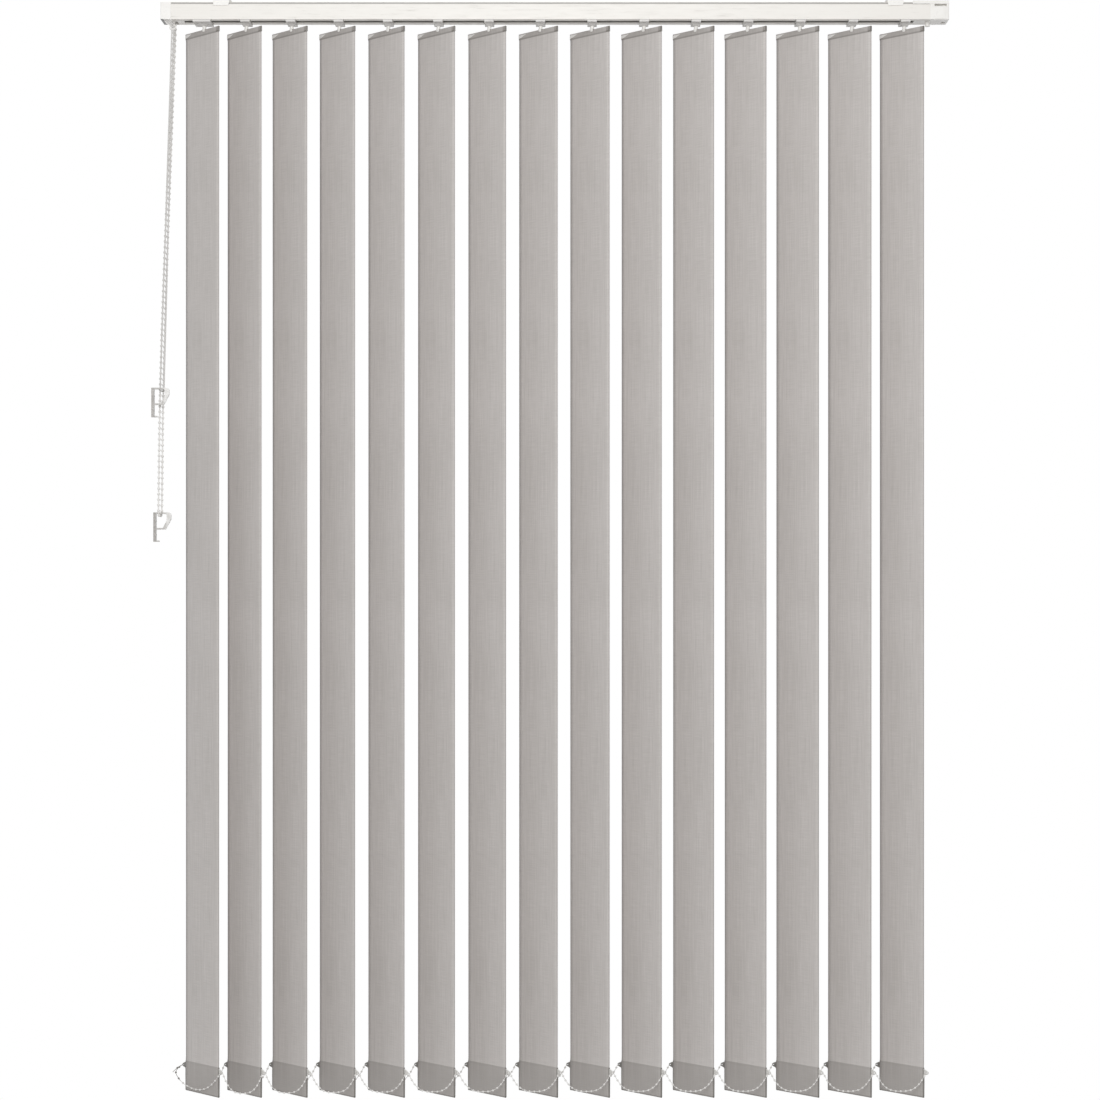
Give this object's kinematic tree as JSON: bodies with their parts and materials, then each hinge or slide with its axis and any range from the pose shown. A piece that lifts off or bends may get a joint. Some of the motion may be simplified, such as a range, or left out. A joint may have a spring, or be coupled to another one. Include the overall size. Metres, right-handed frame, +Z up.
{
  "type": "vertical blind",
  "caption": "Vertical blind: fabric vanes hang from sliding carriers in a white headrail, with a tilt chain, a traverse cord, wall clips and bottom chains",
  "frame": {"origin": "midpoint between the two ceiling screws, on the ceiling plane", "axes": "+X along the headrail to the right as seen from the room, -Y towards the room, +Z up"},
  "size_m": [1.215, 0.0826, 1.6716],
  "materials": {
    "rail_paint": "satin white powder coat",
    "cap_plastic": "moulded, half gloss",
    "carrier_plastic": "moulded, slightly waxy",
    "clear_plastic": "milky, half clear look",
    "vane_fabric": "plain woven polyester, stiffened",
    "chain_plastic": "beads on a thin link",
    "cord": "braided polyester",
    "rod_metal": "mill finish extrusion"
  },
  "bodies": {
    "headrail": {"headrail": "rail_paint", "control_end_cap": "cap_plastic", "far_end_cap": "cap_plastic", "bracket_left": "cap_plastic", "bracket_right": "cap_plastic", "tilt_chain": "chain_plastic", "traverse_cord": "cord", "chain_clip": "clear_plastic", "cord_clip": "clear_plastic", "carrier_15": "carrier_plastic"},
    "carrier_01": {"carrier_01": "carrier_plastic"},
    "carrier_02": {"carrier_02": "carrier_plastic"},
    "carrier_03": {"carrier_03": "carrier_plastic"},
    "carrier_04": {"carrier_04": "carrier_plastic"},
    "carrier_05": {"carrier_05": "carrier_plastic"},
    "carrier_06": {"carrier_06": "carrier_plastic"},
    "carrier_07": {"carrier_07": "carrier_plastic"},
    "carrier_08": {"carrier_08": "carrier_plastic"},
    "carrier_09": {"carrier_09": "carrier_plastic"},
    "carrier_10": {"carrier_10": "carrier_plastic"},
    "carrier_11": {"carrier_11": "carrier_plastic"},
    "carrier_12": {"carrier_12": "carrier_plastic"},
    "carrier_13": {"carrier_13": "carrier_plastic"},
    "carrier_14": {"carrier_14": "carrier_plastic"},
    "vane_01": {"stem_01": "carrier_plastic", "vane_01": "vane_fabric", "chain_tail": "chain_plastic"},
    "vane_02": {"stem_02": "carrier_plastic", "vane_02": "vane_fabric"},
    "vane_03": {"stem_03": "carrier_plastic", "vane_03": "vane_fabric"},
    "vane_04": {"stem_04": "carrier_plastic", "vane_04": "vane_fabric"},
    "vane_05": {"stem_05": "carrier_plastic", "vane_05": "vane_fabric"},
    "vane_06": {"stem_06": "carrier_plastic", "vane_06": "vane_fabric"},
    "vane_07": {"stem_07": "carrier_plastic", "vane_07": "vane_fabric"},
    "vane_08": {"stem_08": "carrier_plastic", "vane_08": "vane_fabric"},
    "vane_09": {"stem_09": "carrier_plastic", "vane_09": "vane_fabric"},
    "vane_10": {"stem_10": "carrier_plastic", "vane_10": "vane_fabric"},
    "vane_11": {"stem_11": "carrier_plastic", "vane_11": "vane_fabric"},
    "vane_12": {"stem_12": "carrier_plastic", "vane_12": "vane_fabric"},
    "vane_13": {"stem_13": "carrier_plastic", "vane_13": "vane_fabric"},
    "vane_14": {"stem_14": "carrier_plastic", "vane_14": "vane_fabric"},
    "vane_15": {"stem_15": "carrier_plastic", "vane_15": "vane_fabric"},
    "tilt_rod": {"tilt_rod": "rod_metal", "chain_wheel": "carrier_plastic"},
    "cord_pulley": {"cord_pulley": "carrier_plastic"},
    "front_chain": {"front_chain": "chain_plastic"},
    "back_chain": {"back_chain": "chain_plastic"}
  },
  "joints": [
    {"name": "traverse", "type": "slide", "parent": "headrail", "child": "carrier_01", "axis": [1, 0, 0], "range_m": [0, 0.749], "deforming": ["front_chain", "back_chain"]},
    {"name": "traverse_02", "type": "slide", "parent": "headrail", "child": "carrier_02", "axis": [1, 0, 0], "range_m": [0, 0.70443]},
    {"name": "traverse_03", "type": "slide", "parent": "headrail", "child": "carrier_03", "axis": [1, 0, 0], "range_m": [0, 0.6559]},
    {"name": "traverse_04", "type": "slide", "parent": "headrail", "child": "carrier_04", "axis": [1, 0, 0], "range_m": [0, 0.60501]},
    {"name": "traverse_05", "type": "slide", "parent": "headrail", "child": "carrier_05", "axis": [1, 0, 0], "range_m": [0, 0.55252]},
    {"name": "traverse_06", "type": "slide", "parent": "headrail", "child": "carrier_06", "axis": [1, 0, 0], "range_m": [0, 0.49893]},
    {"name": "traverse_07", "type": "slide", "parent": "headrail", "child": "carrier_07", "axis": [1, 0, 0], "range_m": [0, 0.4446]},
    {"name": "traverse_08", "type": "slide", "parent": "headrail", "child": "carrier_08", "axis": [1, 0, 0], "range_m": [0, 0.38976]},
    {"name": "traverse_09", "type": "slide", "parent": "headrail", "child": "carrier_09", "axis": [1, 0, 0], "range_m": [0, 0.33458]},
    {"name": "traverse_10", "type": "slide", "parent": "headrail", "child": "carrier_10", "axis": [1, 0, 0], "range_m": [0, 0.27917]},
    {"name": "traverse_11", "type": "slide", "parent": "headrail", "child": "carrier_11", "axis": [1, 0, 0], "range_m": [0, 0.22359]},
    {"name": "traverse_12", "type": "slide", "parent": "headrail", "child": "carrier_12", "axis": [1, 0, 0], "range_m": [0, 0.16791]},
    {"name": "traverse_13", "type": "slide", "parent": "headrail", "child": "carrier_13", "axis": [1, 0, 0], "range_m": [0, 0.11215]},
    {"name": "traverse_14", "type": "slide", "parent": "headrail", "child": "carrier_14", "axis": [1, 0, 0], "range_m": [0, 0.05634]},
    {"name": "tilt_01", "type": "hinge", "parent": "carrier_01", "child": "vane_01", "pos_m": [-0.5414, 0, -0.0436], "axis": [0, 0, 1], "range_deg": [-116, 32]},
    {"name": "tilt_02", "type": "hinge", "parent": "carrier_02", "child": "vane_02", "pos_m": [-0.477, 0, -0.0436], "axis": [0, 0, 1], "range_deg": [-116, 32]},
    {"name": "tilt_03", "type": "hinge", "parent": "carrier_03", "child": "vane_03", "pos_m": [-0.40765, 0, -0.0436], "axis": [0, 0, 1], "range_deg": [-116, 32]},
    {"name": "tilt_04", "type": "hinge", "parent": "carrier_04", "child": "vane_04", "pos_m": [-0.33493, 0, -0.0436], "axis": [0, 0, 1], "range_deg": [-116, 32]},
    {"name": "tilt_05", "type": "hinge", "parent": "carrier_05", "child": "vane_05", "pos_m": [-0.25992, 0, -0.0436], "axis": [0, 0, 1], "range_deg": [-116, 32]},
    {"name": "tilt_06", "type": "hinge", "parent": "carrier_06", "child": "vane_06", "pos_m": [-0.18335, 0, -0.0436], "axis": [0, 0, 1], "range_deg": [-116, 32]},
    {"name": "tilt_07", "type": "hinge", "parent": "carrier_07", "child": "vane_07", "pos_m": [-0.10572, 0, -0.0436], "axis": [0, 0, 1], "range_deg": [-116, 32]},
    {"name": "tilt_08", "type": "hinge", "parent": "carrier_08", "child": "vane_08", "pos_m": [-0.02736, 0, -0.0436], "axis": [0, 0, 1], "range_deg": [-116, 32]},
    {"name": "tilt_09", "type": "hinge", "parent": "carrier_09", "child": "vane_09", "pos_m": [0.05149, 0, -0.0436], "axis": [0, 0, 1], "range_deg": [-116, 32]},
    {"name": "tilt_10", "type": "hinge", "parent": "carrier_10", "child": "vane_10", "pos_m": [0.13068, 0, -0.0436], "axis": [0, 0, 1], "range_deg": [-116, 32]},
    {"name": "tilt_11", "type": "hinge", "parent": "carrier_11", "child": "vane_11", "pos_m": [0.21009, 0, -0.0436], "axis": [0, 0, 1], "range_deg": [-116, 32]},
    {"name": "tilt_12", "type": "hinge", "parent": "carrier_12", "child": "vane_12", "pos_m": [0.28966, 0, -0.0436], "axis": [0, 0, 1], "range_deg": [-116, 32]},
    {"name": "tilt_13", "type": "hinge", "parent": "carrier_13", "child": "vane_13", "pos_m": [0.36934, 0, -0.0436], "axis": [0, 0, 1], "range_deg": [-116, 32]},
    {"name": "tilt_14", "type": "hinge", "parent": "carrier_14", "child": "vane_14", "pos_m": [0.44908, 0, -0.0436], "axis": [0, 0, 1], "range_deg": [-116, 32]},
    {"name": "tilt", "type": "hinge", "parent": "headrail", "child": "vane_15", "pos_m": [0.52888, 0, -0.0436], "axis": [0, 0, 1], "range_deg": [-116, 32]},
    {"name": "rod_turn", "type": "hinge", "parent": "headrail", "child": "tilt_rod", "pos_m": [0, 0.0076, -0.0192], "axis": [1, 0, 0], "range_deg": [-464, 128]},
    {"name": "pulley_turn", "type": "hinge", "parent": "headrail", "child": "cord_pulley", "pos_m": [0.5555, -0.0164, -0.0192], "axis": [0, 1, 0], "range_deg": [0, 6136]},
    {"name": "front_chain_level", "type": "hinge", "parent": "vane_15", "child": "front_chain", "pos_m": [0.55939, -0.03389, -1.6326], "axis": [0, 0, 1], "range_deg": [-32, 116]},
    {"name": "back_chain_level", "type": "hinge", "parent": "vane_15", "child": "back_chain", "pos_m": [0.49141, 0.04162, -1.6326], "axis": [0, 0, 1], "range_deg": [-32, 116]}
  ],
  "couplings": [
    {"joint": "traverse_02", "follows": "traverse", "ratio": 0.93983},
    {"joint": "traverse_03", "follows": "traverse", "ratio": 0.87503},
    {"joint": "traverse_04", "follows": "traverse", "ratio": 0.80709},
    {"joint": "traverse_05", "follows": "traverse", "ratio": 0.73701},
    {"joint": "traverse_06", "follows": "traverse", "ratio": 0.66546},
    {"joint": "traverse_07", "follows": "traverse", "ratio": 0.59292},
    {"joint": "traverse_08", "follows": "traverse", "ratio": 0.51971},
    {"joint": "traverse_09", "follows": "traverse", "ratio": 0.44604},
    {"joint": "traverse_10", "follows": "traverse", "ratio": 0.37205},
    {"joint": "traverse_11", "follows": "traverse", "ratio": 0.29785},
    {"joint": "traverse_12", "follows": "traverse", "ratio": 0.22351},
    {"joint": "traverse_13", "follows": "traverse", "ratio": 0.14907},
    {"joint": "traverse_14", "follows": "traverse", "ratio": 0.074556},
    {"joint": "tilt_01", "follows": "tilt", "ratio": 1},
    {"joint": "tilt_02", "follows": "tilt", "ratio": 1},
    {"joint": "tilt_03", "follows": "tilt", "ratio": 1},
    {"joint": "tilt_04", "follows": "tilt", "ratio": 1},
    {"joint": "tilt_05", "follows": "tilt", "ratio": 1},
    {"joint": "tilt_06", "follows": "tilt", "ratio": 1},
    {"joint": "tilt_07", "follows": "tilt", "ratio": 1},
    {"joint": "tilt_08", "follows": "tilt", "ratio": 1},
    {"joint": "tilt_09", "follows": "tilt", "ratio": 1},
    {"joint": "tilt_10", "follows": "tilt", "ratio": 1},
    {"joint": "tilt_11", "follows": "tilt", "ratio": 1},
    {"joint": "tilt_12", "follows": "tilt", "ratio": 1},
    {"joint": "tilt_13", "follows": "tilt", "ratio": 1},
    {"joint": "tilt_14", "follows": "tilt", "ratio": 1},
    {"joint": "rod_turn", "follows": "tilt", "ratio": 4},
    {"joint": "pulley_turn", "follows": "traverse", "rad_per_m": 142.86},
    {"joint": "front_chain_level", "follows": "tilt", "ratio": -1},
    {"joint": "back_chain_level", "follows": "tilt", "ratio": -1}
  ]
}
